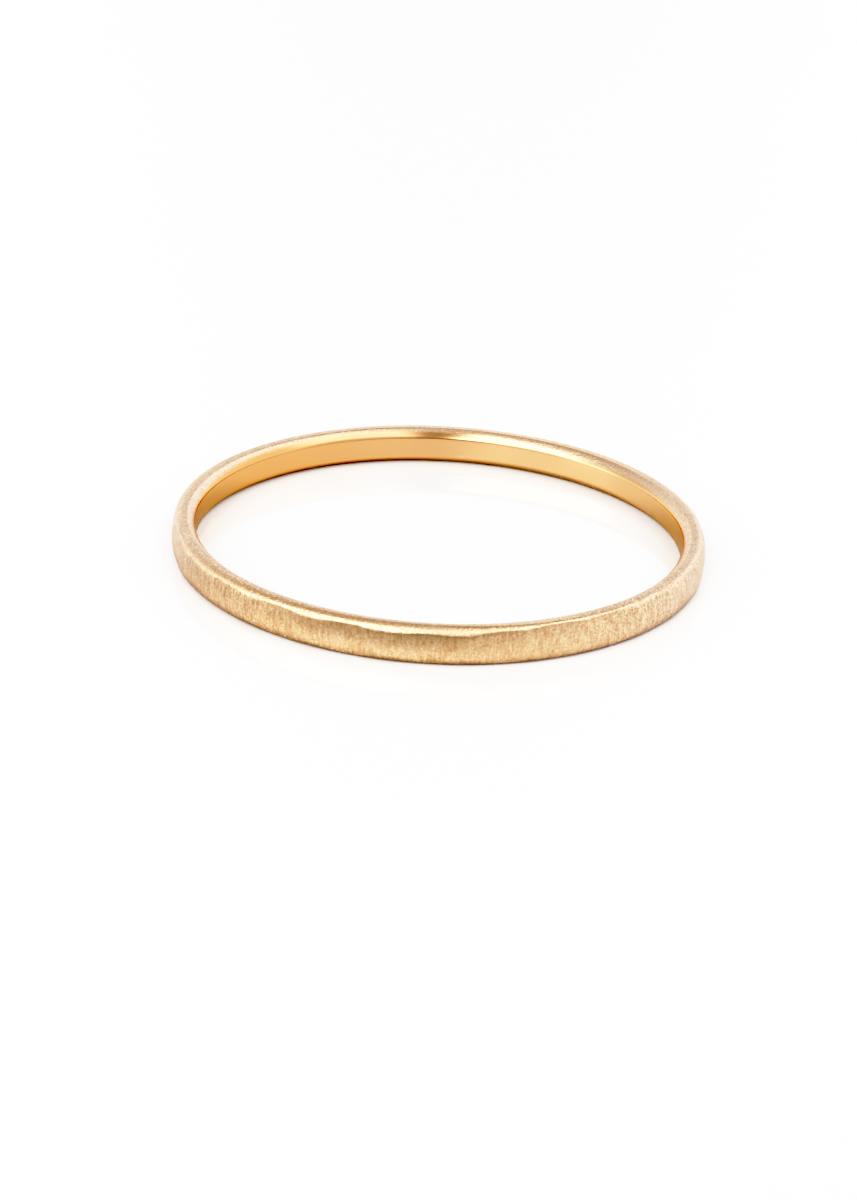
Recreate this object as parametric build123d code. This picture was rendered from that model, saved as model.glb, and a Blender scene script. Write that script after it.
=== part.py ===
from build123d import *
import os

# Stacking finger ring: one slim gold band, lying flat on its side.
# Frame: millimetres, +Z up along the finger, origin at the centre of the lower rim.
# A rounded rectangle is turned about +Z, then light hammer blows flatten the outer face.

# --- driving dimensions (mm) ---
finger_diameter = 17.35      # inside diameter, US ring size 7
wall_thickness = 0.85        # radial thickness of the band
band_height = 1.36           # along the finger
outer_round = 0.30           # radius of the two outer shoulders
inner_round = 0.34           # radius of the two comfort-rounded inner edges

# --- one hammer blow a row: (bearing, depth, lean) ---
# bearing: degrees about +Z from +X; depth: mm below the turned face at mid-height;
# lean: degrees that the flat tips inwards at its top (negative: outwards).
hammer_blows = [
    (5, 0.030, 0.4),
    (19, 0.034, -0.5),
    (35, 0.028, 0.8),
    (49, 0.036, 0.2),
    (64, 0.030, -0.7),
    (80, 0.038, 0.5),
    (95, 0.027, 0.9),
    (109, 0.034, -0.4),
    (124, 0.030, 0.6),
    (140, 0.036, -0.6),
    (154, 0.026, 0.7),
    (167, 0.032, 0.1),
    (180, 0.026, -0.5),
    (194, 0.056, 0.6),
    (208, 0.022, -0.4),
    (220, 0.028, 0.3),
    (236, 0.034, 0.4),
    (252, 0.036, 0.6),
    (269, 0.030, 1.2),
    (284, 0.038, 1.6),
    (296, 0.052, 2.6),
    (309, 0.036, 1.0),
    (323, 0.028, -0.3),
    (336, 0.032, 0.7),
    (351, 0.026, -0.2),
]

# --- cutter for one flat (mm): only its inner face matters, the rest is waste ---
cutter_depth = 1.0
cutter_width = 6.0
cutter_height = 4.0

inner_radius = finger_diameter / 2
outer_radius = inner_radius + wall_thickness
mid_height = band_height / 2


def turned_band():
    """Rounded-rectangle section, turned a full circle about the finger's axis."""
    section = Rectangle(wall_thickness, band_height)
    section = fillet(section.vertices().group_by(Axis.X)[0], inner_round)
    section = fillet(section.vertices().group_by(Axis.X)[-1], outer_round)
    in_place = Plane.XZ * Pos(inner_radius + wall_thickness / 2, mid_height) * section
    return revolve(in_place, Axis.Z, 360)


def hammer_flat(bearing, depth, lean):
    """Waste block whose inner face is the flat that one hammer blow leaves."""
    block = Pos(cutter_depth / 2, 0, 0) * Box(cutter_depth, cutter_width, cutter_height)
    tipped = Rot(0, -lean, 0) * block
    at_face = Pos(outer_radius - depth, 0, mid_height) * tipped
    return Rot(0, 0, bearing) * at_face


def ring_band():
    """The finished band: turned, then flattened blow by blow around its outer face."""
    return turned_band() - [hammer_flat(*blow) for blow in hammer_blows]


os.makedirs("parts", exist_ok=True)
band = ring_band()
export_step(band, "parts/ring_band.step")
print("ring_band volume mm3", round(band.volume, 3))
print("outer diameter mm", round(2 * outer_radius, 3), "section mm", wall_thickness, band_height)
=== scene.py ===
"""Stacking ring of satin gold, dressed over its packed band.

Everything is in metres in the band's own frame: +Z runs up the finger, and the
origin is the centre of the lower rim, which lies on the floor. The visible band
is one closed surface of two parameters, the bearing round the finger and the
place along the section, so no seam or pole is left in it.
"""

import logging
import math
from dataclasses import dataclass
from enum import Enum
from typing import NamedTuple, Optional, Union

import bpy
import numpy as np
from mathutils import Matrix


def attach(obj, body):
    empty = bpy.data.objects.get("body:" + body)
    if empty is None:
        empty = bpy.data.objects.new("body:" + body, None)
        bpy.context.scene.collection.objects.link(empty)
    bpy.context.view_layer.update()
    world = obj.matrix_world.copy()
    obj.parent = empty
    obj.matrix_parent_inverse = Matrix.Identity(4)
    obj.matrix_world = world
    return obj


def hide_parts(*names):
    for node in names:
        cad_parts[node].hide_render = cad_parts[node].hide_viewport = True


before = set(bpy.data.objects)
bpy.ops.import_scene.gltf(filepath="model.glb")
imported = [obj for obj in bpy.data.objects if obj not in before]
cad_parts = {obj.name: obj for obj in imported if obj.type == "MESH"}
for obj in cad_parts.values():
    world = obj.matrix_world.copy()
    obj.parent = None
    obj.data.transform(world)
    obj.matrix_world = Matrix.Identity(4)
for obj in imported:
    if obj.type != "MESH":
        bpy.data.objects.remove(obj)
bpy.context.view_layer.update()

MM = 0.001
X_AXIS = (1.0, 0.0, 0.0)
Y_AXIS = (0.0, 1.0, 0.0)
Z_AXIS = (0.0, 0.0, 1.0)
WHITE = (1.0, 1.0, 1.0)
BLACK_LEVEL = 0.11
WHITE_LEVEL = 1.6
COMBINED_CURVE = 3
log = logging.getLogger("stacking_ring")


class ToneStep(NamedTuple):
    """One step of the print's roll-off: scene light, and the linear value shown."""

    light: float
    shown: float


ROLL_OFF = (
    ToneStep(0.30, 0.213),
    ToneStep(0.50, 0.437),
    ToneStep(0.70, 0.650),
    ToneStep(0.85, 0.765),
    ToneStep(1.00, 0.855),
    ToneStep(1.20, 0.928),
    ToneStep(1.40, 0.974),
)


# ----------------------------------------------------------------- shader wiring


class Wire:
    """One output of a node. Arithmetic on it adds Math nodes to its tree."""

    def __init__(
        self, bench: "Bench", socket: Optional[bpy.types.NodeSocket]
    ) -> None:
        """Holds the socket, if the node has one, and the bench beside it."""
        self.bench = bench
        self.socket = socket

    def _math(self, operation: str, *terms: Union["Wire", float]) -> "Wire":
        """Adds one Math node.

        Args:
            operation: the Math node's operation.
            terms: its operands in order, wires or plain numbers.

        Returns:
            The node's result.
        """
        return self.bench.node(
            "ShaderNodeMath", {"operation": operation}, dict(enumerate(terms))
        )

    def __add__(self, other: Union["Wire", float]) -> "Wire":
        """This wire plus another or a number."""
        return self._math("ADD", self, other)

    __radd__ = __add__

    def __sub__(self, other: Union["Wire", float]) -> "Wire":
        """This wire less another or a number."""
        return self._math("SUBTRACT", self, other)

    def __rsub__(self, other: Union["Wire", float]) -> "Wire":
        """A number less this wire."""
        return self._math("SUBTRACT", other, self)

    def __mul__(self, other: Union["Wire", float]) -> "Wire":
        """This wire times another or a number."""
        return self._math("MULTIPLY", self, other)

    __rmul__ = __mul__

    def __truediv__(self, other: Union["Wire", float]) -> "Wire":
        """This wire over another or a number."""
        return self._math("DIVIDE", self, other)

    def __rtruediv__(self, other: Union["Wire", float]) -> "Wire":
        """A number over this wire."""
        return self._math("DIVIDE", other, self)

    def __pow__(self, other: Union["Wire", float]) -> "Wire":
        """This wire to a power."""
        return self._math("POWER", self, other)

    def __rpow__(self, other: Union["Wire", float]) -> "Wire":
        """A number to the power of this wire."""
        return self._math("POWER", other, self)

    def function(self, operation: str) -> "Wire":
        """A one-operand Math function of this wire, such as ABSOLUTE or ARCSINE."""
        return self._math(operation, self)

    def maximum(self, other: Union["Wire", float]) -> "Wire":
        """The larger of this wire and another or a number."""
        return self._math("MAXIMUM", self, other)

    def turn_from(self, ahead: "Wire") -> "Wire":
        """The angle whose sine side is this wire and whose cosine side is ahead."""
        return self._math("ARCTAN2", self, ahead)

    def along(self, axis: tuple) -> "Wire":
        """How far this vector reaches along an axis: their dot product.

        Args:
            axis: the axis as x, y and z.

        Returns:
            The reach, in the vector's own unit where the axis has a length of 1.
        """
        return self.bench.node(
            "ShaderNodeVectorMath",
            {"operation": "DOT_PRODUCT"},
            {0: self, 1: axis},
            output="Value",
        )

    def smooth(self, low: float, high: float) -> "Wire":
        """An S-shaped rise of this wire.

        Args:
            low: the value where the result is 0. It may lie above high.
            high: the value where the result is 1.

        Returns:
            0 at low, 1 at high, and a smoothstep between them.
        """
        if low > high:
            return 1.0 - self.smooth(high, low)
        return self.bench.node(
            "ShaderNodeMapRange",
            {"interpolation_type": "SMOOTHSTEP"},
            {"Value": self, "From Min": low, "From Max": high},
        )

    def toward(self, target: float, share: "Wire") -> "Wire":
        """Moves this wire towards a number by a share between 0 and 1."""
        return self + share * (target - self)


class Bench:
    """Adds nodes to one node tree."""

    def __init__(self, tree: bpy.types.NodeTree) -> None:
        """Takes the tree and clears it."""
        self.tree = tree
        tree.nodes.clear()

    def node(
        self,
        kind: str,
        settings: Optional[dict] = None,
        inputs: Optional[dict] = None,
        output: Union[int, str] = 0,
    ) -> Wire:
        """Adds one node.

        Args:
            kind: the node's type name.
            settings: the node's own properties, set before its sockets.
            inputs: socket name or number to a Wire or a plain value.
            output: which output the returned wire is.

        Returns:
            That output as a wire.
        """
        made = self.tree.nodes.new(kind)
        for name, value in (settings or {}).items():
            setattr(made, name, value)
        for key, value in (inputs or {}).items():
            if isinstance(value, Wire):
                self.tree.links.new(value.socket, made.inputs[key])
            else:
                made.inputs[key].default_value = value
        return Wire(self, made.outputs[output] if made.outputs else None)

    def blend(
        self,
        share: Union[Wire, float],
        first: Union[tuple, Wire],
        second: Union[tuple, Wire],
    ) -> Wire:
        """Mixes two colours.

        Args:
            share: 0 gives the first colour and 1 the second.
            first: linear red, green and blue, or a colour wire.
            second: the same for the other colour.

        Returns:
            The mixed colour.
        """
        return self.node(
            "ShaderNodeMix",
            {"data_type": "RGBA", "clamp_factor": True},
            {0: share, 6: opaque(first), 7: opaque(second)},
            output=2,
        )


def opaque(colour: Union[tuple, Wire]) -> Union[tuple, Wire]:
    """A colour with its alpha of 1; a wire is left as it is."""
    return colour if isinstance(colour, Wire) else (*colour, 1.0)


# ------------------------------------------------------------------- mesh making


class Wrap(Enum):
    """Which of a grid's two ways close on themselves."""

    OPEN = (False, False)
    BOTH = (True, True)


def grid_object(
    name: str, points: np.ndarray, wrap: Wrap, values: Optional[dict] = None
) -> bpy.types.Object:
    """Makes a smooth mesh from a grid of points.

    Face (i, j) joins grid points (i, j), (i+1, j), (i+1, j+1) and (i, j+1), whose
    outward side is the first way crossed with the second.

    Args:
        name: the object's name.
        points: array of rows, columns and xyz in metres.
        wrap: which ways close.
        values: attribute name to an array of rows and columns.

    Returns:
        The new object at the origin, linked to the scene.
    """
    rows, columns = points.shape[:2]
    close_rows, close_columns = wrap.value
    i = np.arange(rows if close_rows else rows - 1)[:, None]
    j = np.arange(columns if close_columns else columns - 1)[None, :]
    i_next = (i + 1) % rows
    j_next = (j + 1) % columns
    corners = [i * columns + j, i_next * columns + j]
    corners += [i_next * columns + j_next, i * columns + j_next]
    faces = np.stack(corners, axis=-1).reshape(-1, 4)
    mesh = bpy.data.meshes.new(name)
    mesh.from_pydata(points.reshape(-1, 3).tolist(), [], faces.tolist())
    for label, numbers in (values or {}).items():
        attribute = mesh.attributes.new(label, "FLOAT", "POINT")
        attribute.data.foreach_set("value", numbers.astype(np.float32).ravel())
    mesh.polygons.foreach_set("use_smooth", np.ones(len(faces), bool))
    mesh.update()
    made = bpy.data.objects.new(name, mesh)
    bpy.context.scene.collection.objects.link(made)
    return made


class Patch(NamedTuple):
    """A stretch of the band where something changes.

    bearing and spread are in degrees, and strength is the change in its middle.
    """

    bearing: float
    spread: float
    strength: float = 1.0


def short_way(bearing: np.ndarray, centre: float) -> np.ndarray:
    """Degrees from the centre to each bearing the short way round, signed."""
    return (bearing - centre + 180.0) % 360.0 - 180.0


def hills(bearing: np.ndarray, *patches: Patch) -> np.ndarray:
    """Smooth hills round the band, added up.

    Each hill is strength * exp(-(d / spread)^2), where d is the bearing's
    distance from the patch the short way round.

    Args:
        bearing: bearings in degrees.
        patches: the hills.

    Returns:
        Their sum, shaped as the bearings.
    """
    total = np.zeros_like(bearing)
    for patch in patches:
        apart = short_way(bearing, patch.bearing)
        total = total + patch.strength * np.exp(-((apart / patch.spread) ** 2))
    return total


# ------------------------------------------------------------------- the finish


@dataclass(frozen=True)
class SatinGold:
    """Yellow gold with a brushed, hatched outside and a smoother wall.

    Lengths are in metres and colours are linear. The strokes of the brush run up
    and down, so the reflection is smeared round the band and stays crisp up it.
    The shares say how strongly each kind of mark changes the metal's tone, and
    the gains how much the coarse attribute adds to the marks and their relief.
    """

    name: str = "satin_gold"
    pale: tuple = (1.00, 0.69, 0.43)
    deep: tuple = (0.65, 0.40, 0.22)
    # The paler pair: the matt upper rim's tone, and a painted sheen at the band's left and
    # right ends.
    frost_and_sheen_pale: tuple = (0.99, 0.735, 0.55)
    frost_and_sheen_deep: tuple = (0.67, 0.47, 0.34)
    wall: tuple = (0.82, 0.49, 0.262)
    # Painted gold-on-gold reflection: the redder colour the smooth wall takes at the back
    # left.
    gold_reflection_wall: tuple = (0.79, 0.415, 0.185)
    # Painted shade: the darker colour the comfort round takes at the back left, dimming its
    # highlight.
    shaded_wall: tuple = (0.58, 0.36, 0.195)
    wall_edge: tuple = (1.00, 0.87, 0.66)
    satin_roughness: float = 0.32
    wall_roughness: float = 0.18
    roughness_drift: float = 0.16
    smear: float = 0.80
    stroke_pitch: float = 0.095 * MM
    stroke_stretch: float = 0.20
    band_pitch: float = 0.26 * MM
    band_stretch: float = 0.30
    grain_pitch: float = 0.080 * MM
    hatch_pitch: float = 0.070 * MM
    hatch_stretch: float = 0.40
    hatch_slant: float = 0.45
    hatch_bearing: float = 322.0
    cloud_pitch: float = 1.3 * MM
    stroke_share: float = 1.45
    band_share: float = 0.60
    grain_share: float = 1.70
    cloud_share: float = 0.25
    # Painted highlight: how much the rim's tone is lifted at the back right.
    rim_highlight_share: float = 0.35
    bite_grain_share: float = 0.45
    bite_hatch_share: float = 0.95
    mark_gain: float = 0.20
    relief_gain: float = 0.40
    stroke_depth: float = 0.010 * MM
    grain_depth: float = 0.007 * MM
    noise_detail: float = 2.0

    def material(self) -> bpy.types.Material:
        """Builds the node material: the satin outside mixed into the smooth wall.

        The band's polish attribute is the share of the wall's finish. Another
        attribute reddens the smooth finish at the back left, a painted gold-on-gold
        reflection, and a third darkens the comfort round there, painted shade that
        dims its highlight.

        Returns:
            The finished material.
        """
        made = bpy.data.materials.new(self.name)
        made.use_nodes = True
        bench = Bench(made.node_tree)
        satin = self._satin(bench)
        # Painted gold-on-gold reflection: the smooth finish is redder at the back left.
        gold_reflection = self._attribute(bench, "gold_reflection")
        # Painted shade: the comfort round is darker at the back left.
        round_shade = self._attribute(bench, "round_shade")
        metal = bench.blend(gold_reflection, self.wall, self.gold_reflection_wall)
        smooth = bench.node(
            "ShaderNodeBsdfPrincipled",
            None,
            {
                "Base Color": bench.blend(round_shade, metal, self.shaded_wall),
                "Metallic": 1.0,
                "Roughness": self.wall_roughness,
                "Specular Tint": opaque(self.wall_edge),
            },
        )
        polish = self._attribute(bench, "polish")
        whole = bench.node("ShaderNodeMixShader", None, {0: polish, 1: satin, 2: smooth})
        bench.node("ShaderNodeOutputMaterial", None, {"Surface": whole})
        return made

    def _satin(self, bench: Bench) -> Wire:
        """The brushed finish.

        Strokes and bands are noise squeezed along Z, which draws short upright
        marks on the outer face and round grains on the rims. Their sum sets the
        metal's tone, its roughness and its relief. The band's coarse attribute
        deepens the marks where the file has bitten. Another attribute pales the
        tone where the brush has left the upper rim matt, and as a painted sheen at
        the band's left and right ends. A third lifts the rim's tone at the back
        right as a painted highlight.

        Args:
            bench: where the nodes go.

        Returns:
            The shader's output.
        """
        place = bench.node("ShaderNodeTexCoord", output="Object")
        coarse = self._attribute(bench, "coarse")
        frost_and_sheen = self._attribute(bench, "frost_and_sheen")
        rim_highlight = self._attribute(bench, "rim_highlight")
        stroke = self._noise(bench, place, self.stroke_pitch, self.stroke_stretch)
        wide = self._noise(bench, place, self.band_pitch, self.band_stretch)
        grain = self._noise(bench, place, self.grain_pitch)
        clouds = self._noise(bench, place, self.cloud_pitch)
        hatch = self._hatch(bench, place)
        marks = (
            self.stroke_share * (stroke - 0.5)
            + self.band_share * (wide - 0.5)
            + self.grain_share * (grain - 0.5)
        )
        bite = self.bite_grain_share * (grain - 0.5) + self.bite_hatch_share * (hatch - 0.5)
        marks = marks * (1.0 + self.mark_gain * coarse) + coarse * bite
        # The tone is lifted by the rim's painted highlight at the back right.
        tone = 0.5 + marks + self.cloud_share * (clouds - 0.5) + self.rim_highlight_share * rim_highlight
        relief = stroke * self.stroke_depth + grain * self.grain_depth
        relief = relief * (1.0 + self.relief_gain * coarse)
        raised = bench.node(
            "ShaderNodeBump", None, {"Strength": 1.0, "Distance": 1.0, "Height": relief}
        )
        # Paler colours for the matt upper rim and for the painted sheen at the sides.
        low = bench.blend(frost_and_sheen, self.deep, self.frost_and_sheen_deep)
        high = bench.blend(frost_and_sheen, self.pale, self.frost_and_sheen_pale)
        return bench.node(
            "ShaderNodeBsdfPrincipled",
            None,
            {
                "Base Color": bench.blend(tone, low, high),
                "Metallic": 1.0,
                "Roughness": self.satin_roughness + (0.5 - tone) * self.roughness_drift,
                "Anisotropic": self.smear,
                "Normal": raised,
            },
        )

    def _hatch(self, bench: Bench, place: Wire) -> Wire:
        """The file's short slanted marks.

        The place is sheared along the face at the file's own bearing, by a share
        of its height, so that the upright marks lean there.

        Args:
            bench: where the nodes go.
            place: the object's coordinates.

        Returns:
            Values around 0.5.
        """
        turn = math.radians(self.hatch_bearing)
        along = (-math.sin(turn), math.cos(turn), 0.0)
        lean = tuple(self.hatch_slant * part for part in along)
        level = place.along(Z_AXIS)
        leaned = bench.node(
            "ShaderNodeVectorMath",
            {"operation": "MULTIPLY_ADD"},
            {0: level, 1: lean, 2: place},
        )
        return self._noise(bench, leaned, self.hatch_pitch, self.hatch_stretch)

    @staticmethod
    def _attribute(bench: Bench, name: str) -> Wire:
        """One of the band's own per-point numbers, as a wire."""
        return bench.node("ShaderNodeAttribute", {"attribute_name": name}, output="Fac")

    def _noise(
        self, bench: Bench, place: Wire, pitch: float, stretch: float = 1.0
    ) -> Wire:
        """Noise whose blotches are about one pitch apart.

        Args:
            bench: where the nodes go.
            place: the coordinates to read.
            pitch: distance between neighbouring blotches in metres.
            stretch: scale along Z, where less than 1 makes the blotches taller.

        Returns:
            Values around 0.5.
        """
        squeezed = bench.node(
            "ShaderNodeMapping",
            {"vector_type": "POINT"},
            {"Vector": place, "Scale": (1.0, 1.0, stretch)},
        )
        return bench.node(
            "ShaderNodeTexNoise",
            {"noise_dimensions": "3D"},
            {
                "Vector": squeezed,
                "Scale": 1.0 / pitch,
                "Detail": self.noise_detail,
            },
        )


# --------------------------------------------------------------------- the band


class Blow(NamedTuple):
    """One planishing blow on the outer face.

    bearing is in degrees about +Z from +X, depth in millimetres below the turned
    face at mid-height, and lean in degrees that the flat tips inwards at its top.
    """

    bearing: float
    depth: float
    lean: float


HAMMER_BLOWS = (
    Blow(5, 0.030, 0.4),
    Blow(19, 0.034, -0.5),
    Blow(35, 0.028, 0.8),
    Blow(49, 0.036, 0.2),
    Blow(64, 0.030, -0.7),
    Blow(80, 0.038, 0.5),
    Blow(95, 0.027, 0.9),
    Blow(109, 0.034, -0.4),
    Blow(124, 0.030, 0.6),
    Blow(140, 0.036, -0.6),
    Blow(154, 0.026, 0.7),
    Blow(167, 0.032, 0.1),
    Blow(180, 0.026, -0.5),
    Blow(194, 0.056, 0.6),
    Blow(208, 0.022, -0.4),
    Blow(220, 0.028, 0.3),
    Blow(236, 0.034, 0.4),
    Blow(252, 0.036, 0.6),
    Blow(269, 0.030, 1.2),
    Blow(284, 0.036, 1.1),
    Blow(296, 0.046, 1.9),
    Blow(309, 0.036, 1.0),
    Blow(323, 0.028, -0.3),
    Blow(336, 0.032, 0.7),
    Blow(351, 0.026, -0.2),
)


SHOULDER_SOFTENING = (
    Patch(208, 26, 0.25),
    Patch(246, 14, 0.28),
    Patch(270, 14, 0.40),
    Patch(300, 11, -0.18),
    Patch(318, 12, -0.15),
)


class Wave(NamedTuple):
    """A slow wave of the upper rim: crests round it, phase in radians and share."""

    crests: float
    phase: float
    share: float


RIM_WAVES = (Wave(3.0, 0.7, 1.0), Wave(7.0, 2.1, 0.6))


@dataclass(frozen=True)
class WearAndPaintedLight:
    """Where the finish and the painted light change round the band and over its section.

    Lengths are in metres. Reach and fade are shares of the comfort round's size,
    measured outwards from the wall.
    """

    ends: tuple = (Patch(8, 40), Patch(176, 34))
    short_polish: Patch = Patch(60, 18, 0.3)
    polish_reach: float = 0.88
    polish_fade: float = 0.50
    reach_lost_at_ends: float = 0.60
    fade_lost_at_ends: float = 0.28
    deep_bite: Patch = Patch(320, 16, 2.6)
    deep_bite_at_foot: float = 0.35
    light_bite: Patch = Patch(226, 15, 0.8)
    bitten_rim: tuple = (Patch(228, 26, 1.8), Patch(314, 24, 1.8))
    rim_edge_radius: float = 9.22 * MM
    rim_edge_spread: float = 0.13 * MM
    # Painted sheen: the paler tone at the left and right ends of the band.
    sheen_sides: tuple = (Patch(188, 24), Patch(350, 38))
    rim_frost: float = 0.90
    rim_outer: float = 9.30 * MM
    rim_fade: float = 0.25 * MM
    # Painted highlight on the rim at the back right, which also thins the rim's frost.
    rim_highlight_patch: Patch = Patch(56, 26)
    frost_lost_to_highlight: float = 0.70
    # Painted shade on the comfort round at the back left.
    round_shade_patch: Patch = Patch(114, 19)
    round_shade_rise: float = 4.0
    # Painted gold-on-gold reflection on the wall at the back left.
    gold_reflection_wall: Patch = Patch(140, 38)

    def over(
        self, band: "HammeredBand", bearing: np.ndarray, radius: np.ndarray, level: np.ndarray
    ) -> dict[str, np.ndarray]:
        """The band's attributes.

        Polish is 1 on the wall and fades out over the comfort round, sooner at
        the sides and at the back right. Coarse is where the file has bitten: most
        right of the front and high up, less left of it, and into the rim's edge
        beside both. Frost pales the upper rim, and a painted sheen pales the
        sides. At the back right a painted highlight lifts the rim's tone and thins
        its frost. The comfort round carries painted shade at the back left, and
        the wall there is redder with a painted gold-on-gold reflection.

        Args:
            band: the band that wears.
            bearing: column of bearings.
            radius: turned radii, before hammering.
            level: heights of the same points.

        Returns:
            Attribute name to one number a point, from 0 to 1 or a little over.
        """
        upper = level > 0.5 * band.height
        rim = np.clip((self.rim_outer - radius) / self.rim_fade, 0.0, 1.0) * upper
        off_edge = (radius - self.rim_edge_radius) / self.rim_edge_spread
        depth_in = (radius - band.finger_radius) / band.inner_round
        ends = hills(bearing, *self.ends)
        reach = self.polish_reach - self.reach_lost_at_ends * ends
        reach = reach - hills(bearing, self.short_polish)
        fade = self.polish_fade - self.fade_lost_at_ends * ends
        lift = np.clip(level / band.height, 0.0, 1.0)
        climb = self.deep_bite_at_foot + (1.0 - self.deep_bite_at_foot) * lift
        coarse = hills(bearing, self.deep_bite) * climb + hills(bearing, self.light_bite)
        # Painted highlight on the rim at the back right.
        rim_highlight = hills(bearing, self.rim_highlight_patch)
        rim_frost = self.rim_frost * rim * (1.0 - self.frost_lost_to_highlight * rim_highlight)
        rim_edge = np.exp(-(off_edge**2)) * upper
        # Painted shade on the comfort round, rising off the wall.
        off_wall = np.clip(self.round_shade_rise * depth_in, 0.0, 1.0) * upper
        return {
            "polish": np.clip((reach - depth_in) / fade, 0.0, 1.0),
            "coarse": coarse + hills(bearing, *self.bitten_rim) * rim_edge,
            # Frost on the upper rim, and painted sheen at the sides.
            "frost_and_sheen": np.clip(hills(bearing, *self.sheen_sides) + rim_frost, 0.0, 1.0),
            # Painted highlight on the rim at the back right.
            "rim_highlight": rim_highlight * rim,
            # Painted shade on the comfort round at the back left.
            "round_shade": hills(bearing, self.round_shade_patch) * off_wall,
            # Painted gold-on-gold reflection: the wall is redder at the back left.
            "gold_reflection": hills(bearing, self.gold_reflection_wall) + 0.0 * radius,
        }


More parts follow.
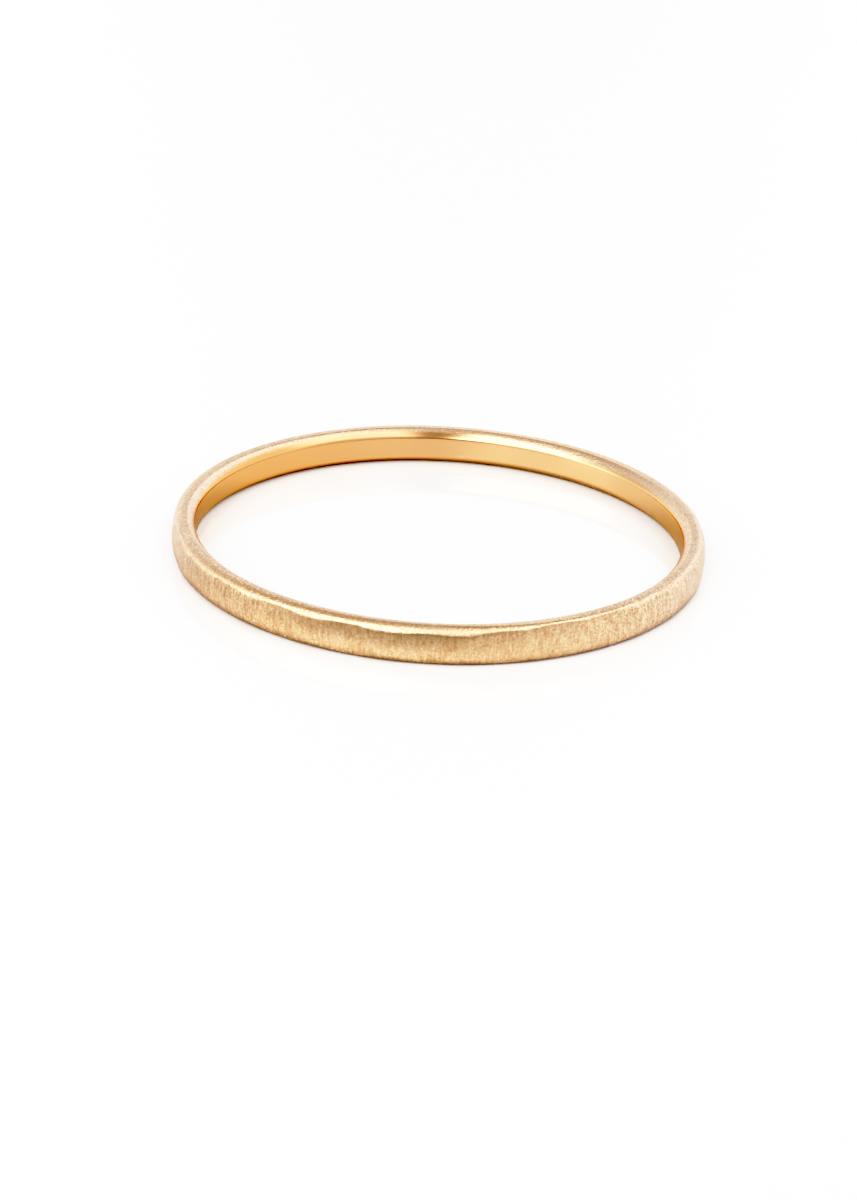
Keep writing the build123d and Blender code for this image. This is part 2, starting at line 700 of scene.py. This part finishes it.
@dataclass
class HammeredBand:
    """The ring: a softened oblong section carried round the finger.

    Lengths are in metres and angles in degrees, except that a blow reaches as far
    as blow_reach in radians. The section has a flat lower and upper rim, a
    straight inner wall with wide comfort rounds, and a crowned outer side that
    rolls over into its shoulders and is flattened blow by blow. Stations along a
    curve are spread partly by length, which is the pace, and partly by turn. The
    eased bevel's strength is how many degrees less steep it stands, and the crisp
    bevel's narrows the bell by as many degrees and adds as much to its height.
    """

    finger_radius: float = 8.675 * MM
    outer_radius: float = 9.525 * MM
    height: float = 1.36 * MM
    outer_round: float = 0.30 * MM
    inner_round: float = 0.34 * MM
    bevel: float = 10.0
    bevel_tip: float = 51.0
    bevel_spread: float = 20.0
    eased_bevel: Patch = Patch(114, 20, 7.0)
    crisp_bevel: Patch = Patch(50, 28, 8.5)
    face_lean: float = 1.5
    roll_above: float = 7.0
    roll_below: float = 5.0
    flat_crown: float = 2.4 * MM
    flat_dome: float = 40.0 * MM
    blow_reach: float = 0.6
    crease: float = 0.010 * MM
    rim_wave: float = 0.008 * MM
    around: int = 1320
    tips: int = 361
    side_steps: int = 36
    arc_steps: int = 12
    rim_steps: int = 4
    wall_steps: int = 6
    side_pace: float = 0.6
    round_pace: float = 0.5

    def shoulder(self, bearing: np.ndarray) -> np.ndarray:
        """Radius of the upper outer shoulder at each bearing.

        It is the turned shoulder, fuller where the file has softened it on the
        left and in front, and tighter right of the front.

        Args:
            bearing: bearings in degrees.

        Returns:
            Radii in metres.
        """
        return self.outer_round * (1.0 + hills(bearing, *SHOULDER_SOFTENING))

    def upper_rim(self, bearing: np.ndarray) -> np.ndarray:
        """Height of the upper rim at each bearing.

        Two slow waves of a few microns, as a hand-made band has. Their sum's
        highest possible crest is taken off, so that the rim dips below the
        nominal height and never rises above it.

        Args:
            bearing: bearings in degrees.

        Returns:
            Heights in metres.
        """
        turn = np.radians(bearing)
        dip = np.zeros_like(turn)
        for wave in RIM_WAVES:
            dip = dip + wave.share * (np.sin(wave.crests * turn + wave.phase) - 1.0)
        return self.height + 0.5 * self.rim_wave * dip

    def _stations(self, length: np.ndarray, pace: float, steps: int) -> np.ndarray:
        """Picks the stations of a finely drawn curve.

        Args:
            length: running length at each of the curve's equal steps of turn.
            pace: share of the spread that goes by length.
            steps: how many steps to keep.

        Returns:
            Indices of the kept points, from the first to the last.
        """
        course = pace * length / length[-1] + (1.0 - pace) * np.linspace(0.0, 1.0, self.tips)
        even = np.linspace(course[0], course[-1], steps + 1)
        return np.abs(course[None, :] - even[:, None]).argmin(axis=1)

    def outer_side(self, bearing: np.ndarray) -> tuple[np.ndarray, np.ndarray]:
        """The outer side before hammering, followed by the tip of its normal.

        The normal tips from straight down to straight up. The side's radius of
        curvature is the shoulder's radius plus a bell of the tip, centred on the
        face's lean: flat in the middle of the face, and rolling over into each
        shoulder without a crease. The bell's height is what makes the side as
        tall as the band. Summing curvature radius times the tip's cosine gives
        height, and times its sine gives radius.

        Args:
            bearing: column of bearings.

        Returns:
            Radius and height arrays, one row a bearing, from the lower rim up.
        """
        tip = np.radians(np.linspace(-90.0, 90.0, self.tips))[None, :]
        off = np.degrees(tip) - self.face_lean
        above = off > 0.0
        shoulder = np.where(above, self.shoulder(bearing), self.outer_round)
        bell = np.exp(-((off / np.where(above, self.roll_above, self.roll_below)) ** 2))
        step = tip[0, 1] - tip[0, 0]
        plain = (shoulder * np.cos(tip)).sum(axis=1, keepdims=True) * step
        belled = (bell * np.cos(tip)).sum(axis=1, keepdims=True) * step
        top = self.upper_rim(bearing)
        curvature = shoulder + bell * (top - plain) / belled
        rise = curvature * np.cos(tip) * step
        draw = curvature * np.sin(tip) * step
        level = np.cumsum(rise, axis=1) - rise[:, :1]
        level = level * top / level[:, -1:]
        radius = -np.cumsum(draw, axis=1)
        radius = radius - radius.max(axis=1, keepdims=True) + self.outer_radius
        kept = self._stations(np.cumsum(curvature[0]), self.side_pace, self.side_steps)
        return radius[:, kept], level[:, kept]

    def inner_corner(self, bearing: np.ndarray) -> tuple[np.ndarray, np.ndarray]:
        """The comfort round between the rim and the inner wall, as a soft bevel.

        The radius of curvature is constant plus a bell a little past half-way
        through the turn, so that the middle of the round is flatter than its ends.
        At the back left the bevel is eased, so that it stands a little less
        steep, and at the back right it is filed crisper, with a narrower bell.

        Args:
            bearing: column of bearings.

        Returns:
            Shares of the round's size from the rim towards the wall, and down
            from the rim, each running from 0 to 1, one row a bearing.
        """
        tip = np.linspace(0.0, math.pi / 2.0, self.tips)[None, :]
        off = np.degrees(tip) - self.bevel_tip + hills(bearing, self.eased_bevel)
        crisp = hills(bearing, self.crisp_bevel)
        bell = np.exp(-((off / (self.bevel_spread - crisp)) ** 2))
        curvature = 1.0 + (self.bevel + crisp) * bell
        inward = np.cumsum(curvature * np.cos(tip), axis=1)
        down = np.cumsum(curvature * np.sin(tip), axis=1)
        kept = self._stations(np.cumsum(curvature[0]), self.round_pace, self.arc_steps)
        inward = (inward - inward[:, :1]) / (inward[:, -1:] - inward[:, :1])
        down = (down - down[:, :1]) / (down[:, -1:] - down[:, :1])
        return inward[:, kept], down[:, kept]

    def section(self, bearing: np.ndarray) -> tuple[np.ndarray, np.ndarray]:
        """The whole section at each bearing.

        The outer side, then straight runs and soft bevels over the upper rim,
        down the inner wall and along the lower rim. It runs counter-clockwise, so
        that bearing crossed with section points outwards.

        Args:
            bearing: column of bearings.

        Returns:
            Radius and height arrays, one row a bearing and one column a station.
        """
        side_radius, side_level = self.outer_side(bearing)
        top = side_level[:, -1:]
        still = np.zeros_like(bearing)
        inward, drop = self.inner_corner(bearing)
        across = np.linspace(0.0, 1.0, self.rim_steps + 1)[None, :]
        down = np.linspace(0.0, 1.0, self.wall_steps + 1)[None, :-1]
        inner = self.finger_radius + self.inner_round
        outer = side_radius[:, -1:]
        foot = side_radius[:, :1]
        radius = [
            side_radius,
            outer + (inner - outer) * across[:, 1:-1],
            inner - self.inner_round * inward[:, :-1] + still,
            self.finger_radius + still + 0.0 * down,
            inner - self.inner_round * inward[:, :0:-1] + still,
            inner + (foot - inner) * across[:, :-1],
        ]
        level = [
            side_level,
            top + 0.0 * across[:, 1:-1],
            top - self.inner_round * drop[:, :-1],
            self.inner_round + (top - 2.0 * self.inner_round) * (1.0 - down),
            self.inner_round * drop[:, :0:-1] + still,
            still + 0.0 * across[:, :-1],
        ]
        return np.concatenate(radius, axis=1), np.concatenate(level, axis=1)

    def hammered(
        self, bearing: np.ndarray, radius: np.ndarray, level: np.ndarray
    ) -> np.ndarray:
        """Presses the blows into the turned radius.

        Each blow limits the radius to a slightly domed and crowned plane that
        stands square to its bearing: (R - depth - lean term - crown term - dome
        term) over the cosine of the bearing's distance from the blow, which is
        held within the blow's reach. The limits and the turned radius are joined
        by a soft minimum, which leaves each crease some tens of microns wide.

        Args:
            bearing: column of bearings.
            radius: turned radii.
            level: heights of the same points.

        Returns:
            The radii after hammering.
        """
        raised = level - 0.5 * self.height
        crown = raised**2 / (2.0 * self.flat_crown)
        lean = raised * math.tan(math.radians(self.face_lean))
        limits = [radius]
        for blow in HAMMER_BLOWS:
            apart = np.radians(short_way(bearing, blow.bearing))
            near = np.clip(apart, -self.blow_reach, self.blow_reach)
            tipped = lean + raised * math.tan(math.radians(blow.lean))
            dome = (self.outer_radius * np.sin(near)) ** 2 / (2.0 * self.flat_dome)
            plane = self.outer_radius - blow.depth * MM - tipped - crown - dome
            limits.append(plane / np.cos(near))
        stack = np.stack([np.broadcast_to(limit, radius.shape) for limit in limits])
        least = stack.min(axis=0)
        spread = np.exp(-(stack - least) / self.crease).sum(axis=0)
        return least - self.crease * np.log(spread)

    def build(self) -> bpy.types.Object:
        """Computes the closed surface and makes its mesh.

        Returns:
            The band's object, with the attributes that its finish reads.
        """
        bearing = np.linspace(0.0, 360.0, self.around, endpoint=False)[:, None]
        turned, level = self.section(bearing)
        radius = self.hammered(bearing, turned, level)
        turn = np.radians(bearing)
        points = np.stack(
            [radius * np.cos(turn), radius * np.sin(turn), level], axis=-1
        )
        values = WearAndPaintedLight().over(self, bearing, turned, level)
        return grid_object("hammered_band", points, Wrap.BOTH, values)

    def dress(self, band: bpy.types.Object, finish: SatinGold) -> None:
        """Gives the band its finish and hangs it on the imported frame.

        Args:
            band: the object from build.
            finish: its metal.
        """
        band.data.materials.append(finish.material())
        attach(band, "root")
        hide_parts("ring_band")


# ------------------------------------------------------------------- the studio


class Shape(Enum):
    """The outline of a studio panel."""

    OBLONG = "oblong"
    ROUND = "round"


@dataclass(frozen=True)
class Panel:
    """One soft patch of the studio, bright or dark, by its direction.

    Angles are in degrees. An azimuth of 0 is behind the ring along +Y, 90 is to
    its right along +X, and 180 is in front. half_width and half_height are seen
    from the ring, square to the panel's own middle, and a round panel's radius is
    its half_width. Radiance is what the patch shows, where 1 is white.
    """

    name: str
    shape: Shape
    azimuth: float
    elevation: float
    half_width: float
    half_height: float
    edge: float
    radiance: float


PANELS = (
    Panel("backdrop", Shape.OBLONG, 0.0, 10.0, 56.0, 22.0, 6.0, 1.48),
    Panel("dim_right", Shape.OBLONG, 130.0, 4.0, 34.0, 15.0, 10.0, 0.90),
    Panel("dim_front", Shape.OBLONG, -158.0, 4.0, 50.0, 15.0, 8.0, 0.60),
    Panel("side_left", Shape.OBLONG, -74.0, 5.0, 18.0, 17.0, 8.0, 1.50),
    Panel("dim_left", Shape.OBLONG, -52.0, 30.0, 17.0, 10.0, 7.0, 0.80),
    Panel("bright_back_right", Shape.OBLONG, 60.0, 58.0, 29.0, 22.0, 10.0, 2.05),
    Panel("dim_back_left", Shape.OBLONG, -29.0, 62.0, 38.0, 17.0, 8.0, 0.45),
    Panel("back_gap", Shape.OBLONG, 0.0, 20.0, 5.0, 14.0, 4.0, 1.10),
    Panel("side_right", Shape.OBLONG, 84.0, 24.0, 30.0, 24.0, 10.0, 1.45),
    Panel("ceiling_left", Shape.OBLONG, -156.0, 66.0, 12.0, 8.0, 6.0, 3.90),
    Panel("ceiling", Shape.OBLONG, -166.0, 48.0, 15.0, 22.0, 7.0, 7.40),
    Panel("ceiling_right", Shape.OBLONG, 140.0, 60.0, 32.0, 20.0, 9.0, 2.90),
    Panel("key_left", Shape.OBLONG, -134.0, 39.0, 24.0, 18.0, 6.0, 3.80),
    Panel("key_low", Shape.OBLONG, -104.0, 19.0, 14.0, 12.0, 6.0, 3.00),
    Panel("lens", Shape.ROUND, 180.0, 9.0, 17.0, 17.0, 4.0, 0.18),
    Panel("column", Shape.OBLONG, 176.0, 58.0, 9.0, 48.0, 4.0, 0.42),
)


class Rise(NamedTuple):
    """The values where a soft step is 0 and where it is 1."""

    none: float
    full: float


@dataclass
class Studio:
    """A pale floor under a dome of soft light.

    Lengths are in metres. The side shade and the inner shade are fans: each rises
    with the distance from the ring's middle, and with the cosine of the angle
    from its own direction.
    """

    floor_size: float = 6.0
    floor_cells: int = 8
    # The board as the ring's reflections see it: duller, with painted shade.
    floor_colour: tuple = (0.83, 0.83, 0.83)
    floor_shade: tuple = (0.43, 0.43, 0.43)
    floor_direct: tuple = (0.95, 0.95, 0.95)
    floor_lift: float = 0.14
    floor_roughness: float = 0.20
    floor_gloss: float = 0.10
    floor_ior: float = 1.7
    floor_coat: float = 0.8
    shade_azimuth: float = -142.0
    shade_reach: Rise = Rise(9.9 * MM, 12.0 * MM)
    shade_fan: Rise = Rise(0.45, 0.95)
    inner_reach: Rise = Rise(5.5 * MM, 8.2 * MM)
    inner_fan: Rise = Rise(0.70, 0.95)
    inner_strength: float = 0.9
    contact_inner: Rise = Rise(8.6 * MM, 8.9 * MM)
    contact_outer: Rise = Rise(9.9 * MM, 9.5 * MM)
    sky_radiance: float = 1.01
    backdrop: tuple = (2.6, 2.6, 2.6)

    def build_floor(self) -> bpy.types.Object:
        """Makes the floor: a flat square grid at height zero.

        Returns:
            The floor's object.
        """
        half = np.linspace(-0.5, 0.5, self.floor_cells + 1) * self.floor_size
        x, y = np.meshgrid(half, half, indexing="ij")
        points = np.stack([x, y, np.zeros_like(x)], axis=-1)
        floor = grid_object("studio_floor", points, Wrap.OPEN)
        floor.data.materials.append(self._floor_material())
        return floor

    def _floor_material(self) -> bpy.types.Material:
        """White glossy board.

        The lens sees it plain, with a faint mirror image of the ring. The ring's
        reflections see it duller and with painted shade: a painted contact shadow
        under the band, painted shade inside both of its ends, and a soft shade
        that starts just off the band on its left front, where the face mirrors the
        unlit part of the room.

        Returns:
            The floor's material.
        """
        made = bpy.data.materials.new("white_board")
        made.use_nodes = True
        bench = Bench(made.node_tree)
        place = bench.node("ShaderNodeTexCoord", output="Object")
        x = place.along(X_AXIS)
        y = place.along(Y_AXIS)
        reach = (x**2.0 + y**2.0) ** 0.5
        turn = math.radians(self.shade_azimuth)
        ahead = place.along((math.sin(turn), math.cos(turn), 0.0)) / reach
        shade = reach.smooth(*self.shade_reach) * ahead.smooth(*self.shade_fan)
        aside = x.function("ABSOLUTE") / reach
        inside = reach.smooth(*self.inner_reach) * aside.smooth(*self.inner_fan)
        # Painted contact shadow under the band, and painted shade inside its ends.
        contact = reach.smooth(*self.contact_inner).maximum(self.inner_strength * inside)
        shade = shade + contact * reach.smooth(*self.contact_outer)
        mirrored = bench.node(
            "ShaderNodeBsdfPrincipled",
            None,
            {
                "Base Color": bench.blend(shade, self.floor_colour, self.floor_shade),
                "Roughness": self.floor_roughness,
            },
        )
        direct = bench.node(
            "ShaderNodeBsdfPrincipled",
            None,
            {
                "Base Color": opaque(self.floor_direct),
                "Roughness": self.floor_gloss,
                "IOR": self.floor_ior,
                "Coat Weight": self.floor_coat,
                "Coat Roughness": self.floor_gloss,
                "Emission Color": opaque(WHITE),
                "Emission Strength": self.floor_lift,
            },
        )
        seen = bench.node("ShaderNodeLightPath", output="Is Camera Ray")
        board = bench.node("ShaderNodeMixShader", None, {0: seen, 1: mirrored, 2: direct})
        bench.node("ShaderNodeOutputMaterial", None, {"Surface": board})
        return made

    def light(self) -> None:
        """Makes the dome of light.

        It starts as a plain sky, written as nought times the heading plus the
        sky's radiance so that it is a wire. Each panel's mask then moves it
        towards the panel's own radiance. The lens sees a plain pale backdrop.
        """
        world = bpy.data.worlds.new("soft_studio")
        world.use_nodes = True
        bench = Bench(world.node_tree)
        heading = bench.node("ShaderNodeTexCoord", output="Generated")
        radiance = heading.along((0.0, 0.0, 0.0)) + self.sky_radiance
        for panel in PANELS:
            radiance = radiance.toward(panel.radiance, self._mask(heading, panel))
        dome = bench.node("ShaderNodeBackground", None, {"Color": radiance})
        plain = bench.node(
            "ShaderNodeBackground", None, {"Color": opaque(self.backdrop)}
        )
        seen = bench.node("ShaderNodeLightPath", output="Is Camera Ray")
        shown = bench.node("ShaderNodeMixShader", None, {0: seen, 1: dome, 2: plain})
        bench.node("ShaderNodeOutputWorld", None, {"Surface": shown})
        bpy.context.scene.world = world

    @staticmethod
    def _mask(heading: Wire, panel: Panel) -> Wire:
        """Where a panel covers the dome.

        The heading is measured against the panel's middle, its level side and its
        own up. A round panel fades with the angle from the middle, and an oblong
        one with the angle to the side times the angle up or down.

        Args:
            heading: unit directions from the ring.
            panel: the panel.

        Returns:
            1 inside, 0 outside, and a smooth step over the soft edge.
        """
        turn = math.radians(panel.azimuth)
        rise = math.radians(panel.elevation)
        out = (
            math.sin(turn) * math.cos(rise),
            math.cos(turn) * math.cos(rise),
            math.sin(rise),
        )
        side = (math.cos(turn), -math.sin(turn), 0.0)
        up = (
            -math.sin(turn) * math.sin(rise),
            -math.cos(turn) * math.sin(rise),
            math.cos(rise),
        )
        if panel.shape is Shape.ROUND:
            apart = heading.along(out).function("ARCCOSINE")
            return Studio._inside(apart, panel.half_width, panel.edge)
        sideways = heading.along(side).turn_from(heading.along(out))
        upward = heading.along(up).function("ARCSINE")
        across = Studio._inside(
            sideways.function("ABSOLUTE"), panel.half_width, panel.edge
        )
        return across * Studio._inside(
            upward.function("ABSOLUTE"), panel.half_height, panel.edge
        )

    @staticmethod
    def _inside(off: Wire, half: float, edge: float) -> Wire:
        """1 within half an extent, falling to 0 over the soft edge, in degrees."""
        return off.smooth(math.radians(half + edge), math.radians(half - edge))


@dataclass
class Viewpoint:
    """The camera: a long lens in front of the ring, looking a little down.

    Angles are in degrees and lengths in metres, except that the lens and the
    sensor are in millimetres.
    """

    elevation: float = 22.937
    distance: float = 114.3 * MM
    roll: float = -2.918
    aim_right: float = 0.1847
    aim_up: float = 1.1474
    lens: float = 95.87
    sensor: float = 36.0
    near: float = 1.0 * MM
    far: float = 20.0
    target_height: float = 0.68 * MM

    def build(self) -> bpy.types.Object:
        """Places the camera.

        Its axes come from three turns: it looks at the band's middle from its
        elevation, rolls about that line, and then turns by the two aim angles so
        that the band sits a little right of and above the middle of the frame.

        Returns:
            The camera object, made the scene's own.
        """
        rise = math.radians(self.elevation)
        out = np.array([0.0, -math.cos(rise), math.sin(rise)])
        right = np.array(X_AXIS)
        level = np.stack([right, np.cross(right, -out), -out])
        tilt = math.radians(self.roll)
        rolled = np.array(
            [
                [math.cos(tilt), -math.sin(tilt), 0.0],
                [math.sin(tilt), math.cos(tilt), 0.0],
                list(Z_AXIS),
            ]
        )
        aside = math.tan(math.radians(self.aim_right))
        above = math.tan(math.radians(self.aim_up))
        aim = np.array([aside, above, 1.0])
        aim = aim / np.linalg.norm(aim)
        twist = np.array(
            [[0.0, 0.0, aim[0]], [0.0, 0.0, aim[1]], [-aim[0], -aim[1], 0.0]]
        )
        turned = np.eye(3) + twist + twist @ twist / (1.0 + aim[2])
        axes = turned @ rolled @ level
        place = out * self.distance + self.target_height * np.array(Z_AXIS)
        pose = np.eye(4)
        pose[:3, 0] = axes[0]
        pose[:3, 1] = axes[1]
        pose[:3, 2] = -axes[2]
        pose[:3, 3] = place
        data = bpy.data.cameras.new("studio_camera")
        data.lens = self.lens
        data.sensor_width = self.sensor
        data.clip_start = self.near
        data.clip_end = self.far
        camera = bpy.data.objects.new("studio_camera", data)
        camera.matrix_world = Matrix(pose.tolist())
        bpy.context.scene.collection.objects.link(camera)
        bpy.context.scene.camera = camera
        return camera


# ------------------------------------------------------------------------- main


def print_tone() -> None:
    """Sets the print's tone: deeper blacks, and highlights that roll off to white."""
    tone = bpy.context.scene.view_settings
    tone.view_transform = "Standard"
    tone.use_curve_mapping = True
    mapping = tone.curve_mapping
    mapping.black_level = (BLACK_LEVEL, BLACK_LEVEL, BLACK_LEVEL)
    mapping.white_level = (WHITE_LEVEL, WHITE_LEVEL, WHITE_LEVEL)
    curve = mapping.curves[COMBINED_CURVE]
    for step in ROLL_OFF:
        share = (step.light - BLACK_LEVEL) / (WHITE_LEVEL - BLACK_LEVEL)
        curve.points.new(share, step.shown)
    for point in curve.points:
        point.handle_type = "AUTO_CLAMPED"
    mapping.update()


def main() -> None:
    """Builds the ring, the studio and the camera, and reports each."""
    logging.basicConfig(level=logging.INFO, format="%(message)s")
    ring = HammeredBand()
    band = ring.build()
    ring.dress(band, SatinGold())
    log.info("hammered band: %d faces", len(band.data.polygons))
    studio = Studio()
    floor = studio.build_floor()
    studio.light()
    log.info("studio: %s and %d soft panels", floor.name, len(PANELS))
    camera = Viewpoint().build()
    log.info("camera: lens %.1f mm", camera.data.lens)
    print_tone()


if __name__ == "__main__":
    main()
